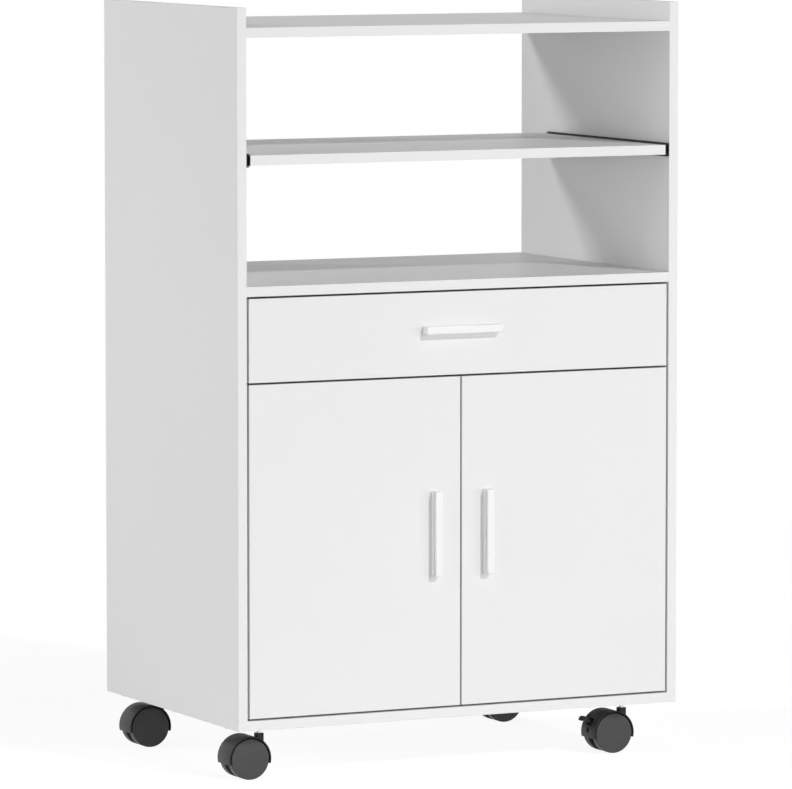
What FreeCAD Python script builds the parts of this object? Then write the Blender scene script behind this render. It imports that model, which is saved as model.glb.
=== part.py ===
"""A kitchen microwave cart on four twin-wheel casters, as one parametric document.

White laminated boards make an open upper rack over a cupboard.  The rack has a fixed
top shelf and a pull-out shelf on two slim slides.  The cupboard has an inset drawer
on telescopic runners over two inset doors on concealed hinges.  Lengths are millimetres.

Frame: +Z is up, the front faces -Y, and +X is the cart's right seen from the front.
The origin is on the floor, in the middle of the cart's overall width and depth.
"""
import FreeCAD, Part
import math
import os

import Sketcher

# ---------------------------------------------------------------------------
# Driving dimensions
# ---------------------------------------------------------------------------
SIZES = {
    # Carcass
    "width": 600,
    "depth": 400,
    "board": 12,
    "door_height": 405,
    "drawer_front_height": 101.5,
    "lower_bay": 146,
    "upper_bay": 141,
    "side_rise": 24,
    "reveal": 2.5,
    "side_reveal": 3,
    # Thin back and the grooves that hold it
    "hardboard": 3,
    "groove_depth": 5,
    "groove_play": 0.2,
    "back_inset": 8,
    "fitting_play": 0.1,
    # Shelf inside the cupboard
    "inner_shelf_height": 200,
    "inner_shelf_recess": 40,
    # Pull-out shelf and its slim telescopic rails
    "pull_shelf_set_back": 58,
    "rail_space": 5.3,
    "rail_height": 16.6,
    "rail_length": 322,
    # Drawer box
    "drawer_box_height": 80,
    "drawer_rear_space": 26.8,
    "drawer_box_lift": 10,
    "drawer_bottom_lift": 10,
    "runner_space": 12.7,
    # Telescopic runners
    "sheet_metal": 1.2,
    "runner_height": 35,
    "runner_lift": 20,
    "runner_play": 0.4,
    # Concealed hinges
    "cup_diameter": 26,
    "cup_depth": 9.5,
    "cup_wall": 1,
    "cup_slot_width": 20,
    "cup_slot_height": 12,
    "cup_flange_width": 26,
    "cup_flange_height": 44,
    "hinge_inset": 20,
    "hinge_depth": 8,
    "hinge_end": 60,
    "hinge_pin": 3,
    "hinge_eye": 5.5,
    "hinge_arm_thick": 3,
    "hinge_arm_height": 10,
    "hinge_turn": 9.5,
    "hinge_reach": 22.5,
    "hinge_plate": 1.5,
    "hinge_plate_length": 40,
    "hinge_plate_height": 44,
    "pivot_play": 0.05,
    # Bar handles
    "handle_length": 104,
    "handle_face": 10,
    "handle_base": 4,
    "handle_neck": 5,
    "handle_neck_depth": 5,
    "handle_bar": 4,
    "door_handle_rise": 213.5,
    "door_handle_offset": 35.4,
    "drawer_handle_lift": 5,
    # Casters
    "caster_inset": 50,
    "caster_trail": 19.5,
    "wheel_diameter": 50,
    "wheel_width": 12,
    "wheel_play": 0.5,
    "tread_gap": 1.5,
    "hood_wall": 1.6,
    "hood_core": 11,
    "hood_skirt": 6,
    "neck_width": 9.6,
    "neck_top": 54.5,
    "stem_diameter": 7,
    "stem_show": 10.5,
    "stem_seat": 24,
    "stem_reach": 8,
    "axle_diameter": 6,
    # Brake lever of a caster
    "lever_out": 19.5,
    "lever_up": 12,
    "lever_length": 21,
    "lever_slope": 22.5,
    "lever_thick": 4,
    "lever_root": 6.4,
    "lever_tab": 14,
}


class Size:
    """A length that carries its value and the sheet formula it comes from."""

    def __init__(self, value, formula):
        self.value = value
        self.formula = formula

    @staticmethod
    def of(number):
        if isinstance(number, Size):
            return number
        return Size(float(number), repr(float(number)))

    def joined(self, sign, other, value):
        return Size(value, "(" + self.formula + " " + sign + " " + other.formula + ")")

    def __add__(self, other):
        other = Size.of(other)
        return self.joined("+", other, self.value + other.value)

    def __sub__(self, other):
        other = Size.of(other)
        return self.joined("-", other, self.value - other.value)

    def __mul__(self, other):
        other = Size.of(other)
        return self.joined("*", other, self.value * other.value)

    def __truediv__(self, other):
        other = Size.of(other)
        return self.joined("/", other, self.value / other.value)

    def __neg__(self):
        return Size(-self.value, "(0 - " + self.formula + ")")

    def __radd__(self, other):
        return Size.of(other) + self

    def __rsub__(self, other):
        return Size.of(other) - self

    def __rmul__(self, other):
        return Size.of(other) * self


class Sizes:
    """The driving dimensions by name, each bound to its cell of the sheet."""

    def __init__(self, table):
        for name, number in table.items():
            setattr(self, name, Size(float(number), "sizes." + name))


doc = FreeCAD.newDocument("microwave_cart")
sheet = doc.addObject("Spreadsheet::Sheet", "sizes")
for row, (name, number) in enumerate(SIZES.items(), start=1):
    sheet.set("A%d" % row, name)
    sheet.set("B%d" % row, str(number))
    sheet.setAlias("B%d" % row, name)
doc.recompute()
size = Sizes(SIZES)

# ---------------------------------------------------------------------------
# Places worked out from the driving dimensions
# ---------------------------------------------------------------------------
handle_projection = size.handle_base + size.handle_neck_depth + size.handle_bar
front = (handle_projection - size.depth) / 2
underside = size.neck_top + size.stem_show
floor_top = underside + size.board
door_bottom = floor_top + size.reveal
drawer_front_bottom = door_bottom + size.door_height + size.reveal
worktop_bottom = drawer_front_bottom + size.drawer_front_height + size.reveal
worktop_top = worktop_bottom + size.board
pull_shelf_bottom = worktop_top + size.lower_bay
top_shelf_bottom = pull_shelf_bottom + size.board + size.upper_bay
side_top = top_shelf_bottom + size.board + size.side_rise

side_height = side_top - floor_top
clear_width = size.width - 2 * size.board
left_wall = -clear_width / 2
groove_width = size.hardboard + 2 * size.groove_play
back_front = size.depth - size.back_inset - groove_width + size.groove_play
door_width = clear_width / 2 - size.side_reveal - size.reveal / 2
drawer_front_width = clear_width - 2 * size.side_reveal
drawer_box_width = clear_width - 2 * size.runner_space
drawer_box_bottom = drawer_front_bottom + size.drawer_box_lift
runner_inset = size.sheet_metal + size.runner_play
rail_bottom = pull_shelf_bottom + (size.board - size.rail_height) / 2
drawer_box_length = back_front - size.board - size.drawer_rear_space
pull_shelf_depth = size.depth - size.pull_shelf_set_back
hinge_x = size.side_reveal + size.hinge_inset
hinge_heights = (size.hinge_end, size.door_height - size.hinge_end)

UPRIGHT = FreeCAD.Rotation()
TURNED_ROUND = FreeCAD.Rotation(FreeCAD.Vector(0, 0, 1), 180)

subparts = []


# ---------------------------------------------------------------------------
# Drawing and feature helpers
# ---------------------------------------------------------------------------
def bind(item, prop, length):
    """Binds a property to a formula of the sheet, or sets a plain number."""
    item.setExpression(prop, Size.of(length).formula)


def place(item, x=0, y=0, z=0, turn=UPRIGHT):
    item.Placement = FreeCAD.Placement(FreeCAD.Vector(), turn)
    for axis, distance in zip("xyz", (x, y, z)):
        bind(item, "Placement.Base." + axis, distance)
    return item


def keep(item, label):
    """Registers a finished sub-part under the name of its file."""
    item.Label = label
    subparts.append(item)
    return item


def new_body(name, x=0, y=0, z=0, turn=UPRIGHT):
    return place(doc.addObject("PartDesign::Body", name), x, y, z, turn)


def rules(points):
    """Constraints that hold each (shape, end, x, y) point at its distance from the origin."""
    wanted = []
    for shape, end, x, y in points:
        wanted.append(("DistanceX", shape, end, x))
        wanted.append(("DistanceY", shape, end, y))
    return wanted


def hold(sketch, wanted):
    """Adds distance constraints from the sketch's origin and binds them to the sheet."""
    made = [Sketcher.Constraint(kind, -1, 1, shape, end, Size.of(length).value)
            for kind, shape, end, length in wanted]
    indices = sketch.addConstraint(made)
    for index, (kind, shape, end, length) in zip(indices, wanted):
        if isinstance(length, Size):
            sketch.setExpression("Constraints[%d]" % index, length.formula)


def circle(x, y, diameter):
    """A full circle about (x, y)."""
    def draw(sketch):
        radius = Size.of(diameter) / 2
        centre = FreeCAD.Vector(Size.of(x).value, Size.of(y).value, 0)
        shape = sketch.addGeometry(Part.Circle(centre, FreeCAD.Vector(0, 0, 1), radius.value))
        hold(sketch, rules([(shape, 3, x, y)]))
        index = sketch.addConstraint(Sketcher.Constraint("Radius", shape, radius.value))
        sketch.setExpression("Constraints[%d]" % index, radius.formula)
    return draw


def arc_between(start, end, radius):
    """An arc from start to end, turning left for a positive radius and right otherwise."""
    middle = (start + end) / 2
    chord = end - start
    rise = math.sqrt(max(radius ** 2 - (chord.Length / 2) ** 2, 0))
    across = FreeCAD.Vector(-chord.y, chord.x, 0).normalize()
    centre = middle + across * math.copysign(rise, radius)
    first, last = (start, end) if radius > 0 else (end, start)
    angles = [math.atan2(p.y - centre.y, p.x - centre.x) for p in (first, last)]
    full = Part.Circle(centre, FreeCAD.Vector(0, 0, 1), abs(radius))
    return Part.ArcOfCircle(full, angles[0], angles[1])


def outline(corners, arcs=None):
    """A closed outline; arcs gives the radius of each side, by its number, that is round."""
    arcs = arcs or {}

    def draw(sketch):
        spots = [FreeCAD.Vector(Size.of(x).value, Size.of(y).value, 0) for x, y in corners]
        shapes = []
        for side, start in enumerate(spots):
            end = spots[(side + 1) % len(spots)]
            if side in arcs:
                shapes.append(arc_between(start, end, arcs[side].value))
            else:
                shapes.append(Part.LineSegment(start, end))
        first = sketch.addGeometry(shapes)[0]
        entry = [2 if side in arcs and arcs[side].value < 0 else 1 for side in range(len(spots))]
        joins = []
        for side in range(len(spots)):
            after = (side + 1) % len(spots)
            joins.append(Sketcher.Constraint(
                "Coincident", first + side, 3 - entry[side], first + after, entry[after]))
        sketch.addConstraint(joins)
        hold(sketch, rules([(first + side, entry[side], x, y)
                            for side, (x, y) in enumerate(corners)]))
        for side, radius in arcs.items():
            index = sketch.addConstraint(
                Sketcher.Constraint("Radius", first + side, abs(radius.value)))
            positive = radius if radius.value > 0 else -radius
            sketch.setExpression("Constraints[%d]" % index, positive.formula)
    return draw


def rectangle(x_low, y_low, x_high, y_high):
    return outline([(x_low, y_low), (x_high, y_low), (x_high, y_high), (x_low, y_high)])


def sketch_on(body, plane, drawings, start=0):
    """A sketch on an origin plane of the body, moved along the plane's axis to start."""
    sketch = body.newObject("Sketcher::SketchObject", body.Name + "_sketch")
    base = [f for f in body.Origin.OriginFeatures if f.Role == plane + "_Plane"][0]
    sketch.AttachmentSupport = (base, "")
    sketch.MapMode = "FlatFace"
    lift = -Size.of(start) if plane == "XZ" else Size.of(start)
    sketch.setExpression("AttachmentOffset.Base.z", lift.formula)
    for drawing in drawings:
        drawing(sketch)
    return sketch


def pad(body, plane, drawings, start, length):
    """Adds material from start, over length, along the positive axis of the plane."""
    feature = body.newObject("PartDesign::Pad", body.Name + "_pad")
    feature.Profile = sketch_on(body, plane, drawings, start)
    feature.Reversed = plane == "XZ"
    bind(feature, "Length", length)
    return feature


def pocket(body, plane, drawings, start, length):
    """Removes material from start, over length, along the positive axis of the plane."""
    feature = body.newObject("PartDesign::Pocket", body.Name + "_pocket")
    feature.Profile = sketch_on(body, plane, drawings, start)
    feature.Reversed = plane != "XZ"
    bind(feature, "Length", length)
    return feature


def revolve(body, drawings, axis):
    """Turns an outline of the XY plane a full turn about that sketch's H or V axis."""
    sketch = sketch_on(body, "XY", drawings)
    feature = body.newObject("PartDesign::Revolution", body.Name + "_turned")
    feature.Profile = sketch
    feature.ReferenceAxis = (sketch, [axis + "_Axis"])
    feature.Angle = 360
    return feature


def round_edges(body, radius, wanted):
    """Rounds the edges of the body's last shape that the wanted test picks."""
    doc.recompute()
    base = body.Tip
    names = ["Edge%d" % number for number, edge in enumerate(base.Shape.Edges, start=1)
             if wanted(edge)]
    feature = body.newObject("PartDesign::Fillet", body.Name + "_round")
    feature.Base = (base, names)
    bind(feature, "Radius", radius)
    return feature


def box(label, x, y, z, along_x, along_y, along_z):
    item = place(doc.addObject("Part::Box", label), x, y, z)
    bind(item, "Length", along_x)
    bind(item, "Width", along_y)
    bind(item, "Height", along_z)
    return item


def rod(name, diameter, length, x, y, z, turn=UPRIGHT):
    item = place(doc.addObject("Part::Cylinder", name), x, y, z, turn)
    bind(item, "Radius", Size.of(diameter) / 2)
    bind(item, "Height", length)
    return item


def group(name, items):
    gathered = doc.addObject("Part::Compound", name)
    gathered.Links = items
    return gathered


def mirrored(name, source):
    """The other-handed copy of a sub-part, across the cart's middle plane."""
    copy = doc.addObject("Part::Mirroring", name)
    copy.Source = source
    copy.Normal = FreeCAD.Vector(1, 0, 0)
    return copy


def pair(label_left, label_right, left):
    keep(left, label_left)
    keep(mirrored(label_right, left), label_right)


# ---------------------------------------------------------------------------
# Carcass
# ---------------------------------------------------------------------------
def side_panel():
    """The left side: it stands on the bottom board and is grooved for the thin back."""
    body = new_body("left_side_panel", -size.width / 2, front, floor_top)
    pad(body, "YZ", [rectangle(0, 0, size.depth, side_height)], 0, size.board)
    groove = rectangle(size.depth - size.back_inset - groove_width, 0,
                       size.depth - size.back_inset,
                       worktop_bottom - floor_top + size.groove_depth)
    pocket(body, "YZ", [groove], size.board - size.groove_depth, size.groove_depth)
    return body


def bottom_board():
    """The bottom board runs under both sides and takes the casters' stems."""
    body = new_body("bottom_board", -size.width / 2, front, underside)
    pad(body, "XY", [rectangle(0, 0, size.width, size.depth)], 0, size.board)
    stems = [circle(x, y, size.stem_diameter + 2 * size.fitting_play)
             for x in (size.caster_inset, size.width - size.caster_inset)
             for y in (size.caster_inset, size.depth - size.caster_inset)]
    pocket(body, "XY", stems, 0, size.stem_reach)
    low = size.board - size.groove_depth
    groove = rectangle(low, size.depth - size.back_inset - groove_width,
                       size.width - low, size.depth - size.back_inset)
    pocket(body, "XY", [groove], low, size.groove_depth)
    return body


def worktop_board():
    """The board over the drawer, grooved underneath for the thin back."""
    body = new_body("worktop_board", left_wall, front, worktop_bottom)
    pad(body, "XY", [rectangle(0, 0, clear_width, size.depth)], 0, size.board)
    groove = rectangle(0, size.depth - size.back_inset - groove_width,
                       clear_width, size.depth - size.back_inset)
    pocket(body, "XY", [groove], 0, size.groove_depth)
    return body


def top_shelf():
    return box("top_shelf", left_wall, front, top_shelf_bottom,
               clear_width, size.depth, size.board)


def back_panel():
    """The thin back, let into grooves all round the cupboard."""
    tongue = size.groove_depth - size.groove_play
    return box("back_panel", left_wall - tongue, front + back_front, floor_top - tongue,
               clear_width + 2 * tongue, size.hardboard,
               worktop_bottom - floor_top + 2 * tongue)


def inner_shelf():
    """The cupboard's fixed shelf, short of the doors and against the thin back."""
    return box("inner_shelf", left_wall, front + size.inner_shelf_recess,
               floor_top + size.inner_shelf_height, clear_width,
               back_front - size.inner_shelf_recess, size.board)


# ---------------------------------------------------------------------------
# Telescopic slides: an outer channel on the carcass, an inner one inside it
# ---------------------------------------------------------------------------
def channel(height, reach):
    """A sheet-metal C that opens towards +x for a positive reach and towards -x otherwise."""
    sheet_metal = size.sheet_metal if reach.value > 0 else -size.sheet_metal
    return outline([
        (0, 0), (reach, 0), (reach, size.sheet_metal), (sheet_metal, size.sheet_metal),
        (sheet_metal, height - size.sheet_metal), (reach, height - size.sheet_metal),
        (reach, height), (0, height)])


def outer_channel(name, y, z, space, height, length):
    """A left slide's outer channel, on the side panel, for the space beside what it carries."""
    body = new_body(name, left_wall, y, z)
    pad(body, "XZ", [channel(height, space - runner_inset)], 0, length)
    return body


def inner_channel(name, y, z, space, height, length):
    """A left slide's inner channel, on what it carries and inside the outer one."""
    body = new_body(name, left_wall + space, y, z + runner_inset)
    pad(body, "XZ", [channel(height - 2 * runner_inset, runner_inset - space)], 0, length)
    return body


# ---------------------------------------------------------------------------
# Pull-out shelf and its rails
# ---------------------------------------------------------------------------
def pull_out_shelf():
    return box("pull_out_shelf", left_wall + size.rail_space, front, pull_shelf_bottom,
               clear_width - 2 * size.rail_space, pull_shelf_depth, size.board)


def shelf_slides():
    """Each side's slim rail on the panel and its runner on the shelf's edge."""
    fit = (front, rail_bottom, size.rail_space, size.rail_height, size.rail_length)
    pair("left_shelf_rail", "right_shelf_rail", outer_channel("left_shelf_rail", *fit))
    pair("left_shelf_runner", "right_shelf_runner", inner_channel("left_shelf_runner", *fit))


# ---------------------------------------------------------------------------
# Drawer and its runners
# ---------------------------------------------------------------------------
box_left = -drawer_box_width / 2
drawer_bottom_top = size.drawer_bottom_lift + groove_width


def drawer_front():
    """The drawer front, grooved across its back for the drawer's bottom."""
    body = new_body("drawer_front", -drawer_front_width / 2, front, drawer_front_bottom)
    pad(body, "XZ", [rectangle(0, 0, drawer_front_width, size.drawer_front_height)],
        0, size.board)
    middle = drawer_front_width / 2
    half = drawer_box_width / 2 - size.board + size.groove_depth
    low = size.drawer_box_lift + size.drawer_bottom_lift
    pocket(body, "XZ", [rectangle(middle - half, low, middle + half, low + groove_width)],
           size.board - size.groove_depth, size.groove_depth)
    return body


def drawer_side():
    """The left drawer side, grooved for the bottom."""
    body = new_body("drawer_left_side", box_left, front + size.board, drawer_box_bottom)
    pad(body, "YZ", [rectangle(0, 0, drawer_box_length, size.drawer_box_height)],
        0, size.board)
    pocket(body, "YZ", [rectangle(0, size.drawer_bottom_lift, drawer_box_length,
                                  drawer_bottom_top)],
           size.board - size.groove_depth, size.groove_depth)
    return body


def drawer_back():
    """The drawer's back, between the sides and on the bottom."""
    low = size.drawer_bottom_lift + size.groove_play + size.hardboard
    return box("drawer_back", box_left + size.board,
               front + drawer_box_length, drawer_box_bottom + low,
               drawer_box_width - 2 * size.board, size.board, size.drawer_box_height - low)


def drawer_bottom():
    tongue = size.groove_depth - size.groove_play
    return box("drawer_bottom", box_left + size.board - tongue, front + size.board - tongue,
               drawer_box_bottom + size.drawer_bottom_lift + size.groove_play,
               drawer_box_width - 2 * size.board + 2 * tongue,
               drawer_box_length + tongue, size.hardboard)


def drawer_slides():
    """Each side's runner on the panel and its inner runner on the drawer side."""
    fit = (front + size.board, drawer_box_bottom + size.runner_lift, size.runner_space,
           size.runner_height, drawer_box_length)
    pair("left_cabinet_runner", "right_cabinet_runner",
         outer_channel("left_cabinet_runner", *fit))
    pair("left_drawer_runner", "right_drawer_runner",
         inner_channel("left_drawer_runner", *fit))


# ---------------------------------------------------------------------------
# Doors, hinges and handles
# ---------------------------------------------------------------------------
def handle(name, plane, x, y, z):
    """A grooved bar handle that runs up (plane XY) or across (plane YZ)."""
    body = new_body(name, x, y, z)
    face = size.handle_face / 2
    neck = size.handle_neck / 2
    depths = (0, -size.handle_base, -size.handle_base - size.handle_neck_depth,
              -handle_projection)
    profile = [(face, depths[0]), (face, depths[1]), (neck, depths[1]), (neck, depths[2]),
               (face, depths[2]), (face, depths[3]), (-face, depths[3]), (-face, depths[2]),
               (-neck, depths[2]), (-neck, depths[1]), (-face, depths[1]), (-face, depths[0])]
    if plane == "YZ":
        profile = [(depth, across) for across, depth in profile]
    pad(body, plane, [outline(profile)], -size.handle_length / 2, size.handle_length)
    lip = handle_projection.value
    round_edges(body, size.handle_bar / 4,
                lambda edge: edge.BoundBox.YMax < -lip + 0.01 and edge.Length > lip)
    return body


def door():
    """The left door, with the mortises of its hinge cups."""
    body = new_body("left_door", left_wall + size.side_reveal, front, door_bottom)
    pad(body, "XZ", [rectangle(0, 0, door_width, size.door_height)], 0, size.board)
    mortises = [circle(size.hinge_inset, rise, size.cup_diameter + 2 * size.fitting_play)
                for rise in hinge_heights]
    depth = size.cup_depth + size.fitting_play
    pocket(body, "XZ", mortises, size.board - depth, depth)
    return body


def hinge_cup(name, rise):
    """A round hinge cup in the door, with its flange on the door's back and a pin across."""
    body = new_body(name, left_wall + hinge_x, front + size.board, door_bottom + rise)
    flange_x = size.cup_flange_width / 2
    flange_z = size.cup_flange_height / 2
    slot_x = size.cup_slot_width / 2
    slot_z = size.cup_slot_height / 2
    pad(body, "XZ", [circle(0, 0, size.cup_diameter)], -size.cup_depth, size.cup_depth)
    pad(body, "XZ", [rectangle(-flange_x, -flange_z, flange_x, flange_z)],
        0, size.sheet_metal)
    pocket(body, "XZ", [rectangle(-slot_x, -slot_z, slot_x, slot_z)],
           size.cup_wall - size.cup_depth,
           size.cup_depth - size.cup_wall + size.sheet_metal)
    pin_reach = slot_z + size.cup_wall / 2
    pad(body, "XY", [circle(0, size.hinge_depth - size.board, size.hinge_pin)],
        -pin_reach, 2 * pin_reach)
    return body


def hinge_arm(name, rise):
    """A hooked hinge arm: its eye on the pin, its plate on the side panel."""
    body = new_body(name, left_wall + hinge_x, front + size.hinge_depth, door_bottom + rise)
    half = size.hinge_arm_height / 2
    thick = size.hinge_arm_thick
    turn = size.hinge_turn
    back = size.hinge_reach
    pad(body, "XY", [outline([
        (-thick / 3, thick / 3),
        (turn - thick / 2, turn),
        (turn - thick / 2, back),
        (-hinge_x, back),
        (-hinge_x, back + size.hinge_plate_length),
        (-hinge_x + size.hinge_arm_height, back + size.hinge_plate_length),
        (-hinge_x + size.hinge_arm_height, back + thick),
        (turn + thick / 2, back + thick),
        (turn + thick / 2, turn - thick / 2),
        (thick / 3, -thick / 3)])], -half, size.hinge_arm_height)
    eye = size.hinge_eye / 2
    pad(body, "XY", [rectangle(-eye, -eye, eye, eye)], -half, size.hinge_arm_height)
    pad(body, "YZ", [rectangle(back, -size.hinge_plate_height / 2,
                               back + size.hinge_plate_length, size.hinge_plate_height / 2)],
        -hinge_x, size.hinge_plate)
    pocket(body, "XY", [circle(0, 0, size.hinge_pin + 2 * size.pivot_play)],
           -half, size.hinge_arm_height)
    return body


def door_fittings():
    """Each side's door with its handle and hinges."""
    pair("left_door", "right_door", door())
    pair("left_door_handle", "right_door_handle",
         handle("left_door_handle", "XY", -size.door_handle_offset, front,
                door_bottom + size.door_handle_rise))
    cups = [hinge_cup("hinge_cup", rise) for rise in hinge_heights]
    arms = [hinge_arm("hinge_arm", rise) for rise in hinge_heights]
    pair("left_hinge_cups", "right_hinge_cups", group("left_hinge_cups", cups))
    pair("left_hinge_arms", "right_hinge_arms", group("left_hinge_arms", arms))


# ---------------------------------------------------------------------------
# Casters
# ---------------------------------------------------------------------------
wheel_radius = size.wheel_diameter / 2
hood_inner = wheel_radius + size.tread_gap
hood_outer = hood_inner + size.hood_wall
wheel_start = size.hood_core / 2 + size.wheel_play
hood_half = wheel_start + size.wheel_width
stem_bore_bottom = size.neck_top - size.stem_seat
CASTERS = (
    ("front_left", -1, -1, False),
    ("front_right", 1, -1, True),
    ("rear_left", -1, 1, False),
    ("rear_right", 1, 1, True),
)


def caster_places():
    """Each caster's name, stem position and whether it has a brake."""
    middle = front + size.depth / 2
    for name, across, along, braked in CASTERS:
        x = across * (size.width / 2 - size.caster_inset)
        y = middle + along * (size.depth / 2 - size.caster_inset)
        yield name, x, y, braked


def caster_hood(name, x, y, braked):
    """The hood: a half drum over both wheels, a core between them and a stem socket."""
    body = new_body(name, x, y, 0)
    axle = (-size.caster_trail, wheel_radius)
    side = hood_half - size.hood_core / 2
    pad(body, "XZ", [circle(axle[0], axle[1], 2 * hood_outer)], -hood_half, 2 * hood_half)
    neck = size.neck_width / 2
    pad(body, "XY", [rectangle(-neck, -neck, neck, neck)], wheel_radius,
        size.neck_top - wheel_radius)
    pocket(body, "XZ", [circle(axle[0], axle[1], 2 * hood_inner)], -hood_half, side)
    pocket(body, "XZ", [circle(axle[0], axle[1], 2 * hood_inner)], size.hood_core / 2, side)
    pocket(body, "XZ", [rectangle(axle[0] - 2 * hood_outer, -2 * hood_outer,
                                  axle[0] + 2 * hood_outer, wheel_radius - size.hood_skirt)],
           -hood_half, 2 * hood_half)
    pocket(body, "XY", [circle(0, 0, size.stem_diameter + 2 * size.pivot_play)],
           stem_bore_bottom, size.stem_seat)
    pocket(body, "XZ", [circle(axle[0], axle[1], size.axle_diameter + 2 * size.pivot_play)],
           -size.hood_core / 2, size.hood_core)
    if braked:
        cut_for_lever(body, axle)
    return body


def cut_for_lever(body, axle):
    """The slot in the core and the drum that the lever's root turns in."""
    half = size.lever_root / 2 + size.wheel_play
    low = axle[1] + size.lever_up - size.lever_thick
    inward = axle[0] - size.lever_out + size.lever_thick + size.wheel_play
    pocket(body, "XZ", [rectangle(axle[0] - 2 * hood_outer, low, inward,
                                  low + size.lever_thick * 5 / 2)], -half, 2 * half)


def brake_lever(name, x, y):
    """The brake lever: a round root inside the core and a rounded foot tab."""
    body = new_body(name, x - size.caster_trail - size.lever_out, y,
                    wheel_radius + size.lever_up,
                    FreeCAD.Rotation(FreeCAD.Vector(0, 1, 0), SIZES["lever_slope"]))
    thick = size.lever_thick
    tab_start = size.lever_length * 2 / 5
    pad(body, "XZ", [circle(0, 0, thick * 3 / 2)], -size.lever_root / 2, size.lever_root)
    pad(body, "XZ", [rectangle(-size.lever_length + thick, -thick / 2, 0, thick / 2)],
        -size.lever_root / 2, size.lever_root)
    pad(body, "XY", [outline([
        (-tab_start, -size.lever_tab / 2),
        (-tab_start, size.lever_tab / 2),
        (-size.lever_length + size.lever_tab / 3, size.lever_tab / 2),
        (-size.lever_length + size.lever_tab / 3, -size.lever_tab / 2)],
        {2: size.lever_tab * 11 / 20})], -thick / 2, thick)
    return body


def wheel(name, x, y, side):
    """A wheel with its half of the axle; side -1 is the front one of the two."""
    turn = UPRIGHT if side > 0 else TURNED_ROUND
    body = new_body(name, x - size.caster_trail, y, wheel_radius, turn)
    axle = size.axle_diameter / 2
    revolve(body, [outline([
        (0, size.fitting_play), (axle, size.fitting_play), (axle, wheel_start),
        (wheel_radius, wheel_start), (wheel_radius, hood_half), (0, hood_half)])], "V")
    return body


def casters():
    """Four casters: hood, two wheels each, the stems and the brake levers."""
    stems = []
    for name, x, y, braked in caster_places():
        keep(caster_hood(name + "_caster_hood", x, y, braked), name + "_caster_hood")
        for side, word in ((-1, "outer"), (1, "inner")):
            label = "%s_%s_wheel" % (name, word)
            keep(wheel(label, x, y, side), label)
        if braked:
            keep(brake_lever(name + "_brake_lever", x, y), name + "_brake_lever")
        stem_bottom = stem_bore_bottom + size.fitting_play
        stems.append(rod("caster_stem", size.stem_diameter,
                         underside + size.stem_reach - stem_bottom, x, y, stem_bottom))
    keep(group("caster_stems", stems), "caster_stems")


# ---------------------------------------------------------------------------
# The cart
# ---------------------------------------------------------------------------
pair("left_side_panel", "right_side_panel", side_panel())
keep(bottom_board(), "bottom_board")
keep(worktop_board(), "worktop_board")
keep(top_shelf(), "top_shelf")
keep(back_panel(), "back_panel")
keep(inner_shelf(), "inner_shelf")
shelf_slides()
keep(pull_out_shelf(), "pull_out_shelf")
keep(drawer_front(), "drawer_front")
pair("drawer_left_side", "drawer_right_side", drawer_side())
keep(drawer_back(), "drawer_back")
keep(drawer_bottom(), "drawer_bottom")
keep(handle("drawer_handle", "YZ", 0, front,
            drawer_front_bottom + size.drawer_front_height / 2 + size.drawer_handle_lift),
     "drawer_handle")
drawer_slides()
door_fittings()
casters()
doc.recompute()

# ---------------------------------------------------------------------------
# Checks and files
# ---------------------------------------------------------------------------
for item in doc.Objects:
    if "Invalid" in item.State or "Error" in item.State:
        raise RuntimeError("%s failed: %s" % (item.Label, item.State))
    if item.TypeId == "PartDesign::Pocket":
        removed = item.BaseFeature.Shape.Volume - item.Shape.Volume
        if removed <= 0:
            raise RuntimeError("%s cuts nothing" % item.Label)
os.makedirs("parts", exist_ok=True)
for item in subparts:
    if item.Shape.isNull() or not item.Shape.isValid() or not item.Shape.Solids:
        raise RuntimeError("%s has no valid solid" % item.Label)
    item.Shape.exportStep("parts/%s.step" % item.Label)
print("%d sub-parts" % len(subparts))
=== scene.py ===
"""The looks of a white kitchen microwave cart on four twin-wheel casters.

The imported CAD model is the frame.  Its boards, doors, slides, hinges and drawer box keep
their own meshes and get finishes here.  The casters and handles are modelled again in
full, and the screws, shelf pins and cams are added.
All lengths are metres: +Z is up and the front faces -Y.
"""

import math

import bmesh
import bpy
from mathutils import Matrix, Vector


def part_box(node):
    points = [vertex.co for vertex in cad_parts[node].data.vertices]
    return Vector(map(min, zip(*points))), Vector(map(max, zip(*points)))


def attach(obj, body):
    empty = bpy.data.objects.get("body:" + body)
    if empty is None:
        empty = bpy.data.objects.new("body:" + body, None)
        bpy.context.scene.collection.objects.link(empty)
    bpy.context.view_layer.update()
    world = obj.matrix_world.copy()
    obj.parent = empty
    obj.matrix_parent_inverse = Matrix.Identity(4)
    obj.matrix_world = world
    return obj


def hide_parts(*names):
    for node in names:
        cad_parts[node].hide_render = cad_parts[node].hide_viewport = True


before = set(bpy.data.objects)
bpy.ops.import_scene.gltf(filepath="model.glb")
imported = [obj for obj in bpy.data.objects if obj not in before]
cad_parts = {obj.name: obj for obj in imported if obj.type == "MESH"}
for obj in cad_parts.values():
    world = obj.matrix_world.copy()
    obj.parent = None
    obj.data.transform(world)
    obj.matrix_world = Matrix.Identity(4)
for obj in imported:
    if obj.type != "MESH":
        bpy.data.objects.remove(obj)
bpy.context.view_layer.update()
MM = 0.001


# ---------------------------------------------------------------------------
# Nodes of a material
# ---------------------------------------------------------------------------
def add_node(tree, kind, **settings):
    """A new node with the named properties set."""
    node = tree.nodes.new(kind)
    for name, value in settings.items():
        setattr(node, name, value)
    return node


def link(tree, source, target):
    tree.links.new(source, target)


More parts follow.
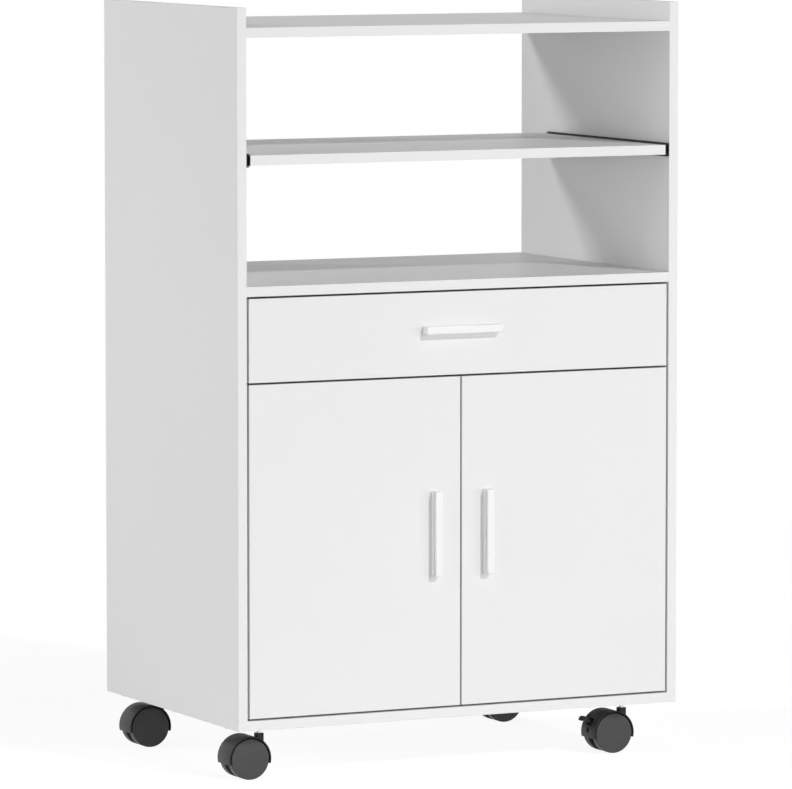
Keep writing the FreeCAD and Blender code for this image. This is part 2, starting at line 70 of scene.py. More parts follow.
def new_group(name, inputs, outputs):
    """A shader node group with named sockets, and its input and output nodes."""
    group = bpy.data.node_groups.new(name, "ShaderNodeTree")
    for socket, kind, value in inputs:
        made = group.interface.new_socket(socket, in_out="INPUT", socket_type=kind)
        made.default_value = value
    for socket, kind in outputs:
        group.interface.new_socket(socket, in_out="OUTPUT", socket_type=kind)
    return group, add_node(group, "NodeGroupInput"), add_node(group, "NodeGroupOutput")


FLOAT = "NodeSocketFloat"
COLOUR = "NodeSocketColor"
VECTOR = "NodeSocketVector"


def speckle_group():
    """A colour that varies softly over a surface, with the height of its fine grain."""
    group, given, out = new_group(
        "surface_speckle",
        [("Coordinates", VECTOR, (0, 0, 0)), ("Tone", COLOUR, (0.8, 0.8, 0.8, 1)),
         ("Other Tone", COLOUR, (0.8, 0.8, 0.8, 1)), ("Patch Scale", FLOAT, 6.0),
         ("Grain Scale", FLOAT, 900.0)],
        [("Color", COLOUR), ("Grain", FLOAT), ("Patches", FLOAT)])
    patches = add_node(group, "ShaderNodeTexNoise")
    patches.inputs["Detail"].default_value = 3
    grain = add_node(group, "ShaderNodeTexNoise")
    grain.inputs["Detail"].default_value = 2
    blend = add_node(group, "ShaderNodeMix", data_type="RGBA")
    for noise, scale in ((patches, "Patch Scale"), (grain, "Grain Scale")):
        link(group, given.outputs["Coordinates"], noise.inputs["Vector"])
        link(group, given.outputs[scale], noise.inputs["Scale"])
    link(group, patches.outputs["Fac"], blend.inputs["Factor"])
    link(group, given.outputs["Tone"], blend.inputs["A"])
    link(group, given.outputs["Other Tone"], blend.inputs["B"])
    link(group, blend.outputs["Result"], out.inputs["Color"])
    link(group, grain.outputs["Fac"], out.inputs["Grain"])
    link(group, patches.outputs["Fac"], out.inputs["Patches"])
    return group


SPECKLE = speckle_group()


def finish_material(name, tone, other_tone, roughness, spread=0.06, patch_scale=6.0,
                    grain_scale=900.0, grain_depth=0.02 * MM, metallic=0.0, edge=0.4 * MM,
                    specular=0.5):
    """A moulded, rolled or coated finish: soft patches of tone and a fine grain."""
    material = bpy.data.materials.new(name)
    material.use_nodes = True
    tree = material.node_tree
    shader = tree.nodes["Principled BSDF"]
    shader.inputs["Metallic"].default_value = metallic
    shader.inputs["Specular IOR Level"].default_value = specular
    place = add_node(tree, "ShaderNodeTexCoord")
    speckle = add_node(tree, "ShaderNodeGroup", node_tree=SPECKLE)
    speckle.inputs["Tone"].default_value = (*tone, 1)
    speckle.inputs["Other Tone"].default_value = (*other_tone, 1)
    speckle.inputs["Patch Scale"].default_value = patch_scale
    speckle.inputs["Grain Scale"].default_value = grain_scale
    link(tree, place.outputs["Object"], speckle.inputs["Coordinates"])
    link(tree, speckle.outputs["Color"], shader.inputs["Base Color"])
    polish = add_node(tree, "ShaderNodeMapRange")
    polish.inputs["To Min"].default_value = roughness - spread
    polish.inputs["To Max"].default_value = roughness + spread
    link(tree, speckle.outputs["Patches"], polish.inputs["Value"])
    link(tree, polish.outputs["Result"], shader.inputs["Roughness"])
    bump = add_node(tree, "ShaderNodeBump")
    bump.inputs["Distance"].default_value = grain_depth
    link(tree, speckle.outputs["Grain"], bump.inputs["Height"])
    link(tree, bump.outputs["Normal"], shader.inputs["Normal"])
    if edge:
        rounded = add_node(tree, "ShaderNodeBevel", samples=6)
        rounded.inputs["Radius"].default_value = edge
        link(tree, rounded.outputs["Normal"], bump.inputs["Normal"])
    return material


WHITE_LAMINATE = finish_material(
    "satin_white_melamine", (0.82, 0.82, 0.82), (0.805, 0.805, 0.805), 0.42,
    patch_scale=4.0, grain_scale=1400.0, edge=0.6 * MM, specular=0.33)
HARDBOARD = finish_material(
    "white_faced_hardboard", (0.80, 0.80, 0.79), (0.77, 0.77, 0.755), 0.6,
    patch_scale=9.0, grain_scale=1800.0, edge=0)
BLACK_RAIL = finish_material(
    "matt_black_coated_steel", (0.016, 0.016, 0.017), (0.022, 0.022, 0.023), 0.48,
    patch_scale=30.0, grain_scale=2200.0, specular=0.3)
WHITE_HANDLE = finish_material(
    "smooth_white_plastic", (0.90, 0.90, 0.90), (0.885, 0.885, 0.885), 0.25,
    spread=0.04, patch_scale=20.0, grain_scale=2600.0, grain_depth=0.004 * MM)
ZINC_STEEL = finish_material(
    "zinc_plated_sheet", (0.62, 0.63, 0.65), (0.50, 0.51, 0.53), 0.34,
    spread=0.1, patch_scale=60.0, grain_scale=1500.0, metallic=1.0, edge=0.2 * MM)
CHROME = finish_material(
    "bright_plated_pin", (0.80, 0.80, 0.81), (0.74, 0.74, 0.75), 0.14,
    spread=0.04, patch_scale=40.0, grain_scale=3000.0, grain_depth=0.002 * MM,
    metallic=1.0, edge=0.2 * MM)
BLACK_CASTER = finish_material(
    "black_moulded_nylon", (0.030, 0.030, 0.030), (0.038, 0.038, 0.038), 0.36,
    patch_scale=45.0, grain_scale=2400.0, grain_depth=0.03 * MM, specular=0.2)
GREY_WHEEL = finish_material(
    "grey_moulded_nylon", (0.062, 0.062, 0.062), (0.070, 0.070, 0.070), 0.45,
    patch_scale=40.0, grain_scale=2400.0, grain_depth=0.02 * MM, specular=0.2)

FINISHES = {
    "white_laminate": WHITE_LAMINATE,
    "hardboard": HARDBOARD,
    "black_rail": BLACK_RAIL,
    "white_handle": WHITE_HANDLE,
    "zinc_steel": ZINC_STEEL,
    "chrome": CHROME,
    "black_caster": BLACK_CASTER,
    "grey_wheel": GREY_WHEEL,
}


def dress_cad_nodes():
    """Gives each CAD node the finish of its slot in the record."""
    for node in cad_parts.values():
        for held in node.material_slots:
            held.material = FINISHES[held.material.name]


dress_cad_nodes()


# ---------------------------------------------------------------------------
# Modelling
# ---------------------------------------------------------------------------
QUARTER_TURN = math.pi / 2
ALONG = {"y": (QUARTER_TURN, 0, 0), "z": (0, 0, 0)}
NEAR = 0.01 * MM
CREASE = 0.9
SMOOTH_BELOW = 40


def begin(name, add, **settings):
    """Adds a primitive where it belongs and opens it for editing."""
    bpy.ops.object.select_all(action="DESELECT")
    add(**settings)
    piece = bpy.context.object
    piece.name = piece.data.name = name
    bpy.ops.object.transform_apply(location=True, rotation=True, scale=True)
    bpy.ops.object.mode_set(mode="EDIT")
    return piece


def block(name, low, high):
    """A block between two corners, open for editing."""
    low, high = Vector(low), Vector(high)
    return begin(name, bpy.ops.mesh.primitive_cube_add, size=1,
                 location=(low + high) / 2, scale=high - low)


def drum(name, centre, radius, length, axis, sides=96):
    """A closed cylinder along y or z, open for editing."""
    return begin(name, bpy.ops.mesh.primitive_cylinder_add, vertices=sides, radius=radius,
                 depth=length, location=centre, rotation=ALONG[axis])


def pick(piece, kind, wanted):
    """Selects the faces or edges of the piece in edit mode that pass the test."""
    bpy.ops.mesh.select_mode(type=kind)
    bpy.ops.mesh.select_all(action="DESELECT")
    mesh = bmesh.from_edit_mesh(piece.data)
    for item in mesh.faces if kind == "FACE" else mesh.edges:
        if wanted(item):
            item.select_set(True)
    bmesh.update_edit_mesh(piece.data)


def faces_towards(piece, direction, at=None):
    """Selects the flat faces that look along `direction`, at a distance along it."""
    direction = Vector(direction)

    def wanted(face):
        level = face.calc_center_median().dot(direction)
        return face.normal.dot(direction) > 0.999 and (
            at is None or abs(level - at) < NEAR)
    pick(piece, "FACE", wanted)


def edges_where(piece, test):
    """Selects the edges whose two ends both pass the test."""
    pick(piece, "EDGE", lambda edge: all(test(vert.co) for vert in edge.verts))


def push(*step):
    """Extrudes the selected faces by a step."""
    bpy.ops.mesh.extrude_region_move(TRANSFORM_OT_translate={"value": step})


def round_off(width, segments=3):
    """Rounds the selected edges."""
    bpy.ops.mesh.bevel(offset=width, segments=segments, affect="EDGES",
                       clamp_overlap=True)


def cut_level(height):
    """Adds a loop of edges round the whole piece at a height."""
    bpy.ops.mesh.select_all(action="SELECT")
    bpy.ops.mesh.bisect(plane_co=(0, 0, height), plane_no=(0, 0, 1))


def close(piece, smooth_angle=SMOOTH_BELOW):
    """Leaves edit mode with merged points, outward faces and smooth curves."""
    bpy.ops.mesh.select_mode(type="VERT")
    bpy.ops.mesh.select_all(action="SELECT")
    bpy.ops.mesh.remove_doubles(threshold=NEAR / 5)
    bpy.ops.mesh.normals_make_consistent(inside=False)
    bpy.ops.object.mode_set(mode="OBJECT")
    bpy.ops.object.select_all(action="DESELECT")
    piece.select_set(True)
    bpy.context.view_layer.objects.active = piece
    bpy.ops.object.shade_smooth_by_angle(angle=math.radians(smooth_angle))
    return piece


def combine(piece, operation, *others):
    """Joins the other shapes to the piece, or cuts them out of it."""
    for other in others:
        change = piece.modifiers.new("combine", "BOOLEAN")
        change.operation = operation
        change.solver = "EXACT"
        change.object = other
        bpy.ops.object.select_all(action="DESELECT")
        piece.select_set(True)
        bpy.context.view_layer.objects.active = piece
        bpy.ops.object.modifier_apply(modifier=change.name)
        bpy.data.objects.remove(other)
    bpy.ops.object.shade_smooth_by_angle(angle=math.radians(SMOOTH_BELOW))
    return piece


def copy_of(piece, name, move=(0, 0, 0), mirror=None):
    """A copy with its own mesh, moved, or mirrored in the plane x = 0 or y = 0."""
    twin = piece.copy()
    twin.data = piece.data.copy()
    twin.name = twin.data.name = name
    bpy.context.scene.collection.objects.link(twin)
    bpy.ops.object.select_all(action="DESELECT")
    twin.select_set(True)
    bpy.context.view_layer.objects.active = twin
    twin.location = move
    if mirror:
        twin.scale["xyz".index(mirror)] = -1
    bpy.ops.object.transform_apply(location=True, rotation=True, scale=True)
    if mirror:
        bpy.ops.object.mode_set(mode="EDIT")
        close(twin)
    return twin


def fit(piece, body, slot, *stands_for):
    """Gives a finished piece its finish and the body that it moves with."""
    piece.data.materials.clear()
    piece.data.materials.append(FINISHES[slot])
    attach(piece, body)
    if stands_for:
        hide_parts(*stands_for)
    return piece


# ---------------------------------------------------------------------------
# Casters
# ---------------------------------------------------------------------------
# The axle lies this far behind the stem.
TRAIL = 19.5 * MM

# A wheel, with its hollow back: rim, web, a boss round the axle, and a hub inside it.
WHEEL_RADIUS = 25 * MM
WHEEL_WIDTH = 12 * MM
WHEEL_RIM = 3 * MM
WHEEL_HOLLOW = 7 * MM
WHEEL_WEB = 14.3 * MM
BOSS_HEIGHT = 6.6 * MM
BOSS_WALL = 4 * MM
DISH_RINGS = 4
DISH_RING = 5.5 * MM
HUB_GAP = 0.1 * MM

# The hood: half its width, the drum, the core between the wheels and the stem's neck.
HOOD_HALF = 18 * MM
HOOD_RADIUS = 28.1 * MM
HOOD_WALL = 1.6 * MM
HOOD_CORE = 11 * MM
HOOD_FOOT = 19 * MM
NECK_WIDTH = 9.6 * MM
NECK_ROOT = 32 * MM
NECK_TOP = 54.5 * MM

# The brake lever: its pin out from the axle and up, then half sizes of its parts.
LEVER_OUT = 19.5 * MM
LEVER_UP = 12 * MM
LEVER_TILT = math.radians(22.5)
LEVER_ROOT = 3 * MM
LEVER_HALF = 3.2 * MM
LEVER_THIN = 1.8 * MM
TAB_HALF = 7 * MM
RIB_HALF = (0.5 * MM, 4.6 * MM)

STEM_RADIUS = 3.5 * MM
STEM_GROOVE = (55.6 * MM, 56.6 * MM)


def caster_wheel(name, axle_x, middle_y):
    """An outer wheel: rounded rims, a shallow dish outside and a hollow back."""
    outer = middle_y - HOOD_HALF
    inner = outer + WHEEL_WIDTH
    hub_back = middle_y - HUB_GAP
    wheel = drum(name, (axle_x, (outer + inner) / 2, WHEEL_RADIUS), WHEEL_RADIUS,
                 WHEEL_WIDTH, "y")
    edges_where(wheel, lambda co: abs(co.y - outer) < NEAR)
    round_off(1.1 * MM, 4)
    faces_towards(wheel, (0, -1, 0), -outer)
    for ring in range(DISH_RINGS):
        bpy.ops.mesh.inset(thickness=DISH_RING, depth=(0.09 - 0.02 * ring) * MM)
    edges_where(wheel, lambda co: abs(co.y - inner) < NEAR)
    round_off(0.7 * MM)
    faces_towards(wheel, (0, 1, 0), inner)
    bpy.ops.mesh.inset(thickness=WHEEL_RIM)
    push(0, -WHEEL_HOLLOW, 0)
    bpy.ops.mesh.inset(thickness=WHEEL_WEB)
    push(0, BOSS_HEIGHT, 0)
    bpy.ops.mesh.inset(thickness=BOSS_WALL)
    push(0, hub_back - (inner - WHEEL_HOLLOW + BOSS_HEIGHT), 0)
    return close(wheel)


def caster_hood(name, stem_x, middle_y):
    """A half drum with a web between the wheels, and a square neck for the stem."""
    axle_x = stem_x - TRAIL
    ends = (middle_y - HOOD_HALF, middle_y + HOOD_HALF)
    hood = drum(name, (axle_x, middle_y, WHEEL_RADIUS), HOOD_RADIUS, 2 * HOOD_HALF, "y", 128)
    for end, side in zip(ends, (-1, 1)):
        faces_towards(hood, (0, side, 0), side * end)
        bpy.ops.mesh.inset(thickness=HOOD_WALL)
        push(0, -side * (HOOD_HALF - HOOD_CORE / 2), 0)
        for radius, width in ((HOOD_RADIUS, 0.8 * MM), (HOOD_RADIUS - HOOD_WALL, 0.3 * MM)):
            edges_where(hood, lambda co: abs(co.y - end) < NEAR and abs(
                math.hypot(co.x - axle_x, co.z - WHEEL_RADIUS) - radius) < 5 * NEAR)
            round_off(width, 4)
    bpy.ops.mesh.select_all(action="SELECT")
    bpy.ops.mesh.bisect(plane_co=(0, 0, HOOD_FOOT), plane_no=(0, 0, 1), use_fill=True,
                        clear_inner=True)
    close(hood)
    half = NECK_WIDTH / 2
    neck = block(name + "_neck", (stem_x - half, middle_y - half, NECK_ROOT),
                 (stem_x + half, middle_y + half, NECK_TOP))
    edges_where(neck, lambda co: co.z > NECK_TOP - NEAR)
    round_off(0.6 * MM)
    pick(neck, "EDGE", lambda edge: abs(edge.verts[0].co.z - edge.verts[1].co.z) > 5 * MM)
    round_off(1.4 * MM, 4)
    close(neck)
    return combine(hood, "UNION", neck)


def brake_slots(name, stem_x, middle_y):
    """The lever's room in the hood and in its web, and the small window below them.

    Millimetres: reach back from the stem, half a width, and heights off the floor.
    """
    def room(kind, far, near, half, low, high):
        return close(block("_".join((name, kind)),
                           (stem_x - far * MM, middle_y - half * MM, low * MM),
                           (stem_x - near * MM, middle_y + half * MM, high * MM)))

    return (room("hood_slot", far=52, near=40.5, half=6.2, low=34.5, high=43.5),
            room("web_slot", far=41, near=34.5, half=3.7, low=33, high=43),
            room("window", far=52, near=43, half=2.6, low=25.5, high=32))


def brake_lever(name, stem_x, middle_y):
    """A rocking pedal: a round root, a short arm and a broad tab that curls over.

    It is made flat about its pin, with the tab along -x, and then tilted into place.
    """
    root = drum(name, (0, 0, 0), LEVER_ROOT, 2 * LEVER_HALF, "y", 32)
    edges_where(root, lambda co: abs(abs(co.y) - LEVER_HALF) < NEAR)
    round_off(0.4 * MM, 2)
    close(root)
    tab_root = 11 * MM
    tab = block(name + "_tab", (-tab_root, -TAB_HALF, -LEVER_THIN),
                (-8.4 * MM, TAB_HALF, LEVER_THIN))
    faces_towards(tab, (-1, 0, 0), tab_root)
    for step, rise, width_ratio, thickness_ratio in (
            (2.5, 0.5, 1.0, 1.4), (2.4, 0.2, 0.99, 1.05), (2.0, -0.7, 0.93, 0.95),
            (1.4, -1.3, 0.84, 0.85), (0.7, -1.2, 0.7, 0.6)):
        push(-step * MM, 0, rise * MM)
        bpy.ops.transform.resize(value=(1, width_ratio, thickness_ratio))
    pick(tab, "EDGE", lambda edge: edge.calc_face_angle(0) > CREASE)
    round_off(0.7 * MM, 3)
    close(tab)
    arm = block(name + "_arm", (-9 * MM, -LEVER_HALF, -LEVER_THIN),
                (0, LEVER_HALF, LEVER_THIN))
    edges_where(arm, lambda co: co.z > LEVER_THIN - NEAR)
    round_off(0.4 * MM, 2)
    close(arm)
    combine(root, "UNION", arm, tab)
    half_thick, half_long = RIB_HALF
    for out, top in ((10.6 * MM, 3 * MM), (13.1 * MM, 3.75 * MM), (15.6 * MM, 3.6 * MM)):
        rib = block(name + "_rib", (-out - half_thick, -half_long, 1.2 * MM),
                    (-out + half_thick, half_long, top))
        edges_where(rib, lambda co: co.z > top - NEAR)
        round_off(0.25 * MM, 2)
        close(rib)
        combine(root, "UNION", rib)
    root.rotation_euler = (0, LEVER_TILT, 0)
    root.location = (stem_x - TRAIL - LEVER_OUT, middle_y, WHEEL_RADIUS + LEVER_UP)
    bpy.ops.object.transform_apply(location=True, rotation=True, scale=True)
    return root


def caster_stem(name, stem_x, middle_y):
    """A plated pin from the hood's socket into the board, with a snap groove."""
    bottom, top = (corner.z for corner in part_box("caster_stems"))
    stem = drum(name, (stem_x, middle_y, (bottom + top) / 2), STEM_RADIUS, top - bottom,
                "z", 48)
    low, high = STEM_GROOVE
    cut_level(low)
    cut_level(high)
    pick(stem, "FACE", lambda face: low < face.calc_center_median().z < high)
    bpy.ops.transform.shrink_fatten(value=-0.35 * MM)
    edges_where(stem, lambda co: abs(co.z - bottom) < NEAR or abs(co.z - top) < NEAR)
    round_off(0.5 * MM)
    return close(stem)


def casters():
    """Four casters; those on the right have a brake."""
    stems = []
    first_wheel = None
    for name in ("front_left", "front_right", "rear_left", "rear_right"):
        low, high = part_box(name + "_outer_wheel")
        stem_x = (low.x + high.x) / 2 + TRAIL
        middle_y = low.y + HOOD_HALF
        if not first_wheel:
            home = (stem_x, middle_y)
            first_wheel = caster_wheel("caster_wheel", stem_x - TRAIL, middle_y)
            first_hood = caster_hood("caster_hood", stem_x, middle_y)
            first_back = copy_of(first_wheel, "caster_back_wheel", (0, 2 * middle_y, 0), "y")
        move = (stem_x - home[0], middle_y - home[1], 0)
        for side, wheel in (("outer", first_wheel), ("inner", first_back)):
            fit(copy_of(wheel, "%s_%s_caster_wheel" % (name, side), move),
                "%s_%s_roll" % (name, side), "grey_wheel", "%s_%s_wheel" % (name, side))
        hood = copy_of(first_hood, name + "_moulded_hood", move)
        if name + "_brake_lever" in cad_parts:
            combine(hood, "DIFFERENCE", *brake_slots(name, stem_x, middle_y))
            fit(brake_lever(name + "_brake_pedal", stem_x, middle_y), name + "_brake",
                "black_caster", name + "_brake_lever")
        fit(hood, name + "_caster", "black_caster", name + "_caster_hood")
        stems.append(caster_stem(name + "_plated_stem", stem_x, middle_y))
    for stem in stems:
        fit(stem, "carcass", "chrome", "caster_stems")
    for piece in (first_wheel, first_back, first_hood):
        bpy.data.objects.remove(piece)


# ---------------------------------------------------------------------------
# Handles
# ---------------------------------------------------------------------------
HANDLE_BASE = 7 * MM
HANDLE_GROOVE = 2.8 * MM
HANDLE_FACE = 3.2 * MM
GROOVED_SHARE = 0.7


def bar_handle(name, node, body, across):
    """A bar on a deep base, with a groove all along both sides behind its round face."""
    low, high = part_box(node)
    base_front = high.y - HANDLE_BASE
    grip = block(name, (low.x, base_front, low.z), high)
    narrow = [1, 1, 1]
    wide = [1, 1, 1]
    side = "xyz".index(across)
    narrow[side], wide[side] = GROOVED_SHARE, 1 / GROOVED_SHARE
    middle = (low + high) / 2
    faces_towards(grip, (0, -1, 0), -base_front)
    for size, depth in ((narrow, HANDLE_GROOVE), (wide, HANDLE_FACE)):
        push(0, 0, 0)
        bpy.ops.transform.resize(value=size, center_override=middle)
        push(0, -depth, 0)
    half = (high[side] - low[side]) / 2
    edges_where(grip, lambda co: abs(co.y - low.y) < NEAR)
    round_off(1.8 * MM, 6)
    edges_where(grip, lambda co: co.y > base_front - NEAR
                and abs(abs(co[side] - middle[side]) - half) < NEAR)
    round_off(0.4 * MM, 3)
    close(grip, 50)
    return fit(grip, body, "white_handle", node)


# ---------------------------------------------------------------------------
# Screws, shelf pins and cams
# ---------------------------------------------------------------------------
FACING = {"+x": (0, QUARTER_TURN, 0), "-x": (0, -QUARTER_TURN, 0),
          "+y": (-QUARTER_TURN, 0, 0), "-z": (math.pi, 0, 0)}
HANDLE_SCREWS = (-32 * MM, 32 * MM)
# A hinge's middle lies this far in from the end of the pair of cups.
HINGE_END = 22 * MM
CUP_SCREWS = (-18 * MM, 18 * MM)
PLATE_SCREWS = (-16 * MM, 16 * MM)
PLATE_Y = -143 * MM
PLATE_THICKNESS = 1.5 * MM
SET_SCREWS_Y = (-154 * MM, -132 * MM)
HINGE_ARM_RISE = 10 * MM
BASE_SCREWS_Y = (-150 * MM, 6.5 * MM, 163 * MM)
SHELF_PIN_RADIUS = 2.5 * MM
SHELF_PINS_Y = (-110 * MM, 150 * MM)
CAMS_X = 262 * MM
CAMS_Y = (-150 * MM, 150 * MM)


def screw_head(name, radius, rise, slot):
    """A domed head that stands on z = 0 and has a cross recess."""
    head = drum(name, (0, 0, rise / 2), radius, rise, "z", 32)
    edges_where(head, lambda co: abs(co.z - rise) < NEAR)
    round_off(0.6 * rise, 3)
    close(head)
    for along, across in ((slot, 0.16 * slot), (0.16 * slot, slot)):
        groove = block(name + "_groove", (-along, -across, 0.35 * rise),
                       (along, across, 2 * rise))
        combine(head, "DIFFERENCE", close(groove))
    return head


def cam_disc(name, radius, rise):
    """A cam that is flush in the board, with a raised rim and a cross for the driver."""
    disc = drum(name, (0, 0, rise / 2), radius, rise, "z", 40)
    edges_where(disc, lambda co: abs(co.z - rise) < NEAR)
    round_off(0.3 * rise, 2)
    faces_towards(disc, (0, 0, 1), rise)
    bpy.ops.mesh.inset(thickness=0.16 * radius)
    bpy.ops.mesh.inset(thickness=0.06 * radius, depth=-0.4 * rise)
    close(disc)
    for along, across in ((0.5 * radius, 0.1 * radius), (0.1 * radius, 0.5 * radius)):
        groove = block(name + "_groove", (-along, -across, 0.2 * rise),
                       (along, across, 2 * rise))
        combine(disc, "DIFFERENCE", close(groove))
    return disc


def shelf_pin(name, radius, reach):
    """A steel pin for the shelf to lie on, with a collar at the panel."""
    pin = drum(name, (0, 0, reach / 2), radius, reach, "z", 32)
    collar = 0.2 * reach
    cut_level(collar)
    pick(pin, "FACE", lambda face: abs(face.normal.z) < 0.1
         and face.calc_center_median().z < collar)
    bpy.ops.transform.shrink_fatten(value=0.5 * MM)
    edges_where(pin, lambda co: abs(co.z - reach) < NEAR)
    round_off(0.4 * MM)
    return close(pin)


def turned(piece, name, place, facing):
    """A copy that stands at a place and looks out of its surface."""
    twin = copy_of(piece, name)
    twin.rotation_euler = FACING[facing]
    twin.location = place
    bpy.ops.object.transform_apply(location=True, rotation=True, scale=True)
    return twin


def joined(name, pieces):
    """Several copies of one fitting as one piece."""
    bpy.ops.object.select_all(action="DESELECT")
    for piece in pieces:
        piece.select_set(True)
    bpy.context.view_layer.objects.active = pieces[0]
    bpy.ops.object.join()
    pieces[0].name = pieces[0].data.name = name
    return pieces[0]


def fasten(name, body, heads):
    """Makes the heads one zinc-plated piece that moves with a body."""
    fit(joined(name, heads), body, "zinc_steel")


def fittings():
    """The visible heads of what holds the cart together."""
    small = screw_head("small_screw", radius=3 * MM, rise=0.9 * MM, slot=1.5 * MM)
    large = screw_head("large_screw", radius=4.2 * MM, rise=1.6 * MM, slot=2.2 * MM)
    cam = cam_disc("cam_disc", radius=6 * MM, rise=0.4 * MM)
    pin = shelf_pin("shelf_pin", SHELF_PIN_RADIUS, reach=9 * MM)
    bottom_z, shelf_z, top_z = (
        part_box(board)[0].z for board in ("bottom_board", "inner_shelf", "top_shelf"))

    for side, sign, inward in (("left", -1, "+x"), ("right", 1, "-x")):
        door = "door_" + side
        low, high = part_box(side + "_hinge_cups")
        cup_x, cup_back = (low.x + high.x) / 2, high.y
        heights = (low.z + HINGE_END, high.z - HINGE_END)
        fasten(side + "_hinge_cup_screws", door, [
            turned(small, "cup_screw", (cup_x, cup_back, height + step), "+y")
            for height in heights for step in CUP_SCREWS])
        low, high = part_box(side + "_side_panel")
        panel_x = (low.x + high.x) / 2
        wall = panel_x - sign * (high.x - low.x) / 2
        plate, arm = wall - sign * PLATE_THICKNESS, wall - sign * HINGE_ARM_RISE
        fasten(side + "_hinge_plate_screws", "carcass", [
            turned(small, "plate_screw", (plate, PLATE_Y, height + step), inward)
            for height in heights for step in PLATE_SCREWS] + [
            turned(small, "set_screw", (arm, y, height), inward)
            for height in heights for y in SET_SCREWS_Y])
        low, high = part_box(side + "_door_handle")
        middle, door_back = (low + high) / 2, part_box(side + "_door")[1].y
        fasten(side + "_handle_screws", door, [
            turned(large, "handle_screw", (middle.x, door_back, middle.z + step), "+y")
            for step in HANDLE_SCREWS])
        fasten(side + "_base_screws", "carcass", [
            turned(large, "base_screw", (panel_x, y, bottom_z), "-z")
            for y in BASE_SCREWS_Y])
        fasten(side + "_shelf_pins", "carcass", [
            turned(pin, "shelf_pin", (wall, y, shelf_z - SHELF_PIN_RADIUS), inward)
            for y in SHELF_PINS_Y])
        fasten(side + "_top_shelf_cams", "carcass", [
            turned(cam, "cam", (sign * CAMS_X, y, top_z), "-z") for y in CAMS_Y])

    low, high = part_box("drawer_handle")
    middle, front_back = (low + high) / 2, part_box("drawer_front")[1].y
    fasten("drawer_handle_screws", "drawer", [
        turned(large, "handle_screw", (middle.x + step, front_back, middle.z), "+y")
        for step in HANDLE_SCREWS])
    for piece in (small, large, cam, pin):
        bpy.data.objects.remove(piece)


casters()
bar_handle("drawer_bar_handle", "drawer_handle", "drawer", "z")
bar_handle("left_door_bar_handle", "left_door_handle", "door_left", "x")
bar_handle("right_door_bar_handle", "right_door_handle", "door_right", "x")
fittings()


# ---------------------------------------------------------------------------
# Studio
# ---------------------------------------------------------------------------
def seen_directly(tree):
    """1 for a ray from the camera, a mirror or glass, and 0 for light on its way."""
    path = add_node(tree, "ShaderNodeLightPath")
    total = path.outputs["Is Camera Ray"]
    for ray in ("Is Glossy Ray", "Is Transmission Ray"):
        either = add_node(tree, "ShaderNodeMath", operation="MAXIMUM")
        link(tree, total, either.inputs[0])
        link(tree, path.outputs[ray], either.inputs[1])
        total = either.outputs["Value"]
    return total


def studio_world(light):
    """A plain even light; seen directly it is the white backdrop."""
    world = bpy.data.worlds.new("studio_world")
    bpy.context.scene.world = world
    world.use_nodes = True
    tree = world.node_tree
    around = tree.nodes["Background"]
    around.inputs["Color"].default_value = (1, 1, 1, 1)
    around.inputs["Strength"].default_value = light
    white = add_node(tree, "ShaderNodeBackground")
    choice = add_node(tree, "ShaderNodeMixShader")
    white.inputs["Color"].default_value = (1, 1, 1, 1)
    link(tree, seen_directly(tree), choice.inputs["Fac"])
    link(tree, around.outputs["Background"], choice.inputs[1])
    link(tree, white.outputs["Background"], choice.inputs[2])
    link(tree, choice.outputs["Shader"], tree.nodes["World Output"].inputs["Surface"])


def studio_floor(reach, veil, glow):
    """A pale floor that keeps the cart's shadow and fades into the white backdrop.

    Under the cart, `veil` is the share of white laid over it and `glow` its strength.
    """
    bpy.ops.object.select_all(action="DESELECT")
    bpy.ops.mesh.primitive_circle_add(vertices=96, radius=reach, fill_type="NGON")
    floor = bpy.context.object
    floor.name = "studio_floor"
    material = bpy.data.materials.new("pale_floor")
    material.use_nodes = True
    tree = material.node_tree
    tree.nodes.remove(tree.nodes["Principled BSDF"])
    pale = add_node(tree, "ShaderNodeBsdfDiffuse")
    pale.inputs["Color"].default_value = (0.8, 0.8, 0.8, 1)
    white = add_node(tree, "ShaderNodeEmission")
    choice = add_node(tree, "ShaderNodeMixShader")
    place = add_node(tree, "ShaderNodeTexCoord")
    length = add_node(tree, "ShaderNodeVectorMath", operation="LENGTH")
    link(tree, place.outputs["Object"], length.inputs[0])

    def fading(near):
        """A value that goes from `near` under the cart to 1 towards the floor's rim."""
        fade = add_node(tree, "ShaderNodeMapRange", interpolation_type="SMOOTHSTEP")
        fade.inputs["From Min"].default_value = 0.45
        fade.inputs["From Max"].default_value = 0.9 * reach
        fade.inputs["To Min"].default_value = near
        link(tree, length.outputs["Value"], fade.inputs["Value"])
        return fade.outputs["Result"]

    shown = add_node(tree, "ShaderNodeMath", operation="MULTIPLY")
    link(tree, fading(veil), shown.inputs[0])
    link(tree, seen_directly(tree), shown.inputs[1])
    link(tree, shown.outputs["Value"], choice.inputs["Fac"])
    link(tree, fading(glow), white.inputs["Strength"])
    link(tree, pale.outputs["BSDF"], choice.inputs[1])
    link(tree, white.outputs["Emission"], choice.inputs[2])
    link(tree, choice.outputs["Shader"], tree.nodes["Material Output"].inputs["Surface"])
    floor.data.materials.append(material)


def aimed(data, name, place, aim):
    """A lamp that stands at a place and points at `aim`."""
    lamp = bpy.data.objects.new(name, data)
    bpy.context.scene.collection.objects.link(lamp)
    lamp.location = place
    lamp.rotation_euler = (Vector(aim) - Vector(place)).to_track_quat("-Z", "Y").to_euler()
    return lamp


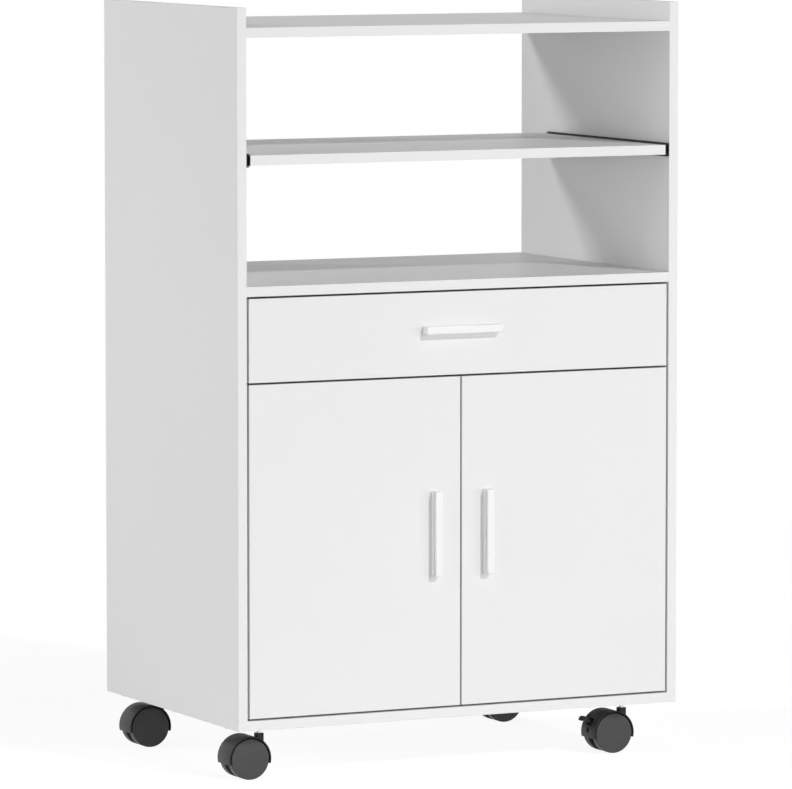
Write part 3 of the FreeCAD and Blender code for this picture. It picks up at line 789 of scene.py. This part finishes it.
def distant_lamp(name, toward, strength, softness):
    """A far lamp that stands in the direction `toward` and looks `softness` wide."""
    data = bpy.data.lights.new(name, "SUN")
    data.energy = strength
    data.angle = softness
    return aimed(data, name, toward, (0, 0, 0))


def softbox(name, place, aim, width, height, power):
    """A rectangular lamp that lights the cart and isn't mirrored in it."""
    data = bpy.data.lights.new(name, "AREA")
    data.shape = "RECTANGLE"
    data.size = width
    data.size_y = height
    data.energy = power
    lamp = aimed(data, name, place, aim)
    lamp.visible_glossy = False
    return lamp


def photo_camera(place, heading, dip, lens):
    """A level camera turned `heading` right of +Y and tipped `dip` down."""
    data = bpy.data.cameras.new("photo_camera")
    data.lens = lens
    data.sensor_width = 36
    data.clip_end = 100
    camera = bpy.data.objects.new("photo_camera", data)
    bpy.context.scene.collection.objects.link(camera)
    camera.location = place
    camera.rotation_euler = (math.radians(90 - dip), 0, math.radians(-heading))
    bpy.context.scene.camera = camera


bpy.context.scene.view_settings.view_transform = "Standard"
photo_camera((-3.3862, -6.9469, 1.1579), heading=26.026, dip=5.262, lens=282.07)
studio_world(light=0.01)
studio_floor(reach=3.0, veil=0.75, glow=1.2)
distant_lamp("key_lamp", toward=(0.32, -1.0, 0.64), strength=1.38,
             softness=math.radians(4))
distant_lamp("rear_left_lamp", toward=(-0.90, 0.34, 0.33), strength=0.89,
             softness=math.radians(9))
distant_lamp("left_lamp", toward=(-1.0, -0.25, 0.05), strength=0.52,
             softness=math.radians(30))
distant_lamp("high_left_lamp", toward=(-0.8, -0.3, 0.6), strength=0.22,
             softness=math.radians(20))
softbox("front_left_box", (-2.6, -3.2, 0.8), aim=(0, 0, 0.8), width=2.0, height=0.6,
        power=12)
softbox("front_box", (0.4, -4.0, 0.75), aim=(0, 0, 0.6), width=2.4, height=1.2, power=32)
softbox("front_right_box", (3.0, -3.0, 0.7), aim=(0, 0, 0.6), width=1.6, height=1.0,
        power=40)
softbox("rear_left_box", (-2.6, 2.6, 0.9), aim=(0, 0, 0.6), width=1.2, height=1.2,
        power=22)
